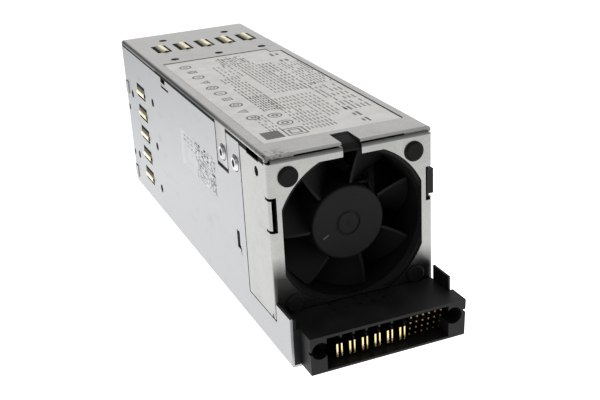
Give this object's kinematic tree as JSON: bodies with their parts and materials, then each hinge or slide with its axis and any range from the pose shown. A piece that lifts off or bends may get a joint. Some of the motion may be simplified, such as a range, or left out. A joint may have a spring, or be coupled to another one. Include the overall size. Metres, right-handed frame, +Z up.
{
  "type": "hot swap server power supply",
  "caption": "Hot swap power supply for a server: long galvanised case with a fan and blade connector at one end, inlet, handle and sprung release latch at the other.",
  "frame": {"origin": "on the underside of the case floor, below the middle of the fan face", "axes": "+X to the right when looking at the fan face, +Y from the fan face to the rear panel, +Z up from the floor to the lid"},
  "size_m": [0.0681, 0.2511, 0.0771],
  "materials": {
    "galvanised": "galvanised, matt",
    "spring_bronze": "gilt spring stock",
    "foil": "satin foil",
    "screw_steel": "zinc plated",
    "black_plastic": "fine matt",
    "contact": "gold plated",
    "lamination": "stacked laminations",
    "copper": "enamelled copper wire",
    "board": "solder mask",
    "shaft_steel": "ground",
    "ferrite": "matt ferrite",
    "aluminium": "extruded",
    "can_sleeve": "shrunk sleeve",
    "release_plastic": "fine matt",
    "lamp": "clear green",
    "film": "insulating film"
  },
  "bodies": {
    "chassis": {"chassis_tray": "galvanised", "top_cover": "galvanised", "fan_bracket": "galvanised", "rear_panel": "galvanised", "emi_fingers_top": "spring_bronze", "emi_fingers_left": "spring_bronze", "rating_label": "foil", "side_sticker": "foil", "cover_screw_left": "screw_steel", "cover_screw_right": "screw_steel", "bracket_screw_left": "screw_steel", "bracket_screw_right": "screw_steel", "keying_tab": "black_plastic", "fan_frame": "black_plastic", "fan_rivet_1": "black_plastic", "fan_rivet_2": "black_plastic", "fan_rivet_3": "black_plastic", "fan_rivet_4": "black_plastic", "wire_guard": "black_plastic", "stator_core": "lamination", "stator_coil_1": "copper", "stator_coil_2": "copper", "stator_coil_3": "copper", "stator_coil_4": "copper", "fan_circuit_board": "board", "fan_bearing_front": "shaft_steel", "fan_bearing_rear": "shaft_steel", "connector_housing": "black_plastic", "power_blades": "contact", "signal_pins": "contact", "inlet_housing": "black_plastic", "inlet_prongs": "screw_steel", "handle": "black_plastic", "handle_screw_lower": "screw_steel", "handle_screw_upper": "screw_steel", "latch_bracket": "galvanised", "latch_pin": "shaft_steel", "latch_spring": "shaft_steel", "status_lens": "lamp", "main_board": "board", "board_standoffs": "contact", "board_screws": "screw_steel", "insulating_liner": "film", "heatsink_primary": "aluminium", "heatsink_secondary": "aluminium", "transformer_core": "ferrite", "transformer_winding": "film", "bulk_capacitor_left": "can_sleeve", "bulk_capacitor_right": "can_sleeve", "pfc_choke": "copper", "output_capacitors": "can_sleeve", "emi_choke": "ferrite"},
    "fan_rotor": {"fan_impeller": "black_plastic", "fan_shaft": "shaft_steel", "rotor_magnet": "ferrite"},
    "latch": {"latch_lever": "release_plastic"}
  },
  "joints": [
    {"name": "fan_spin", "type": "hinge", "parent": "chassis", "child": "fan_rotor", "pos_m": [0, 0.0127, 0.0432], "axis": [0, 1, 0], "continuous": true},
    {"name": "latch_swing", "type": "hinge", "parent": "chassis", "child": "latch", "pos_m": [0.0282, 0.168, 0.0315], "axis": [0, 0, 1], "range_deg": [0, 6], "stiffness_Nm_per_rad": 0.3, "springref_deg": -17.19}
  ]
}
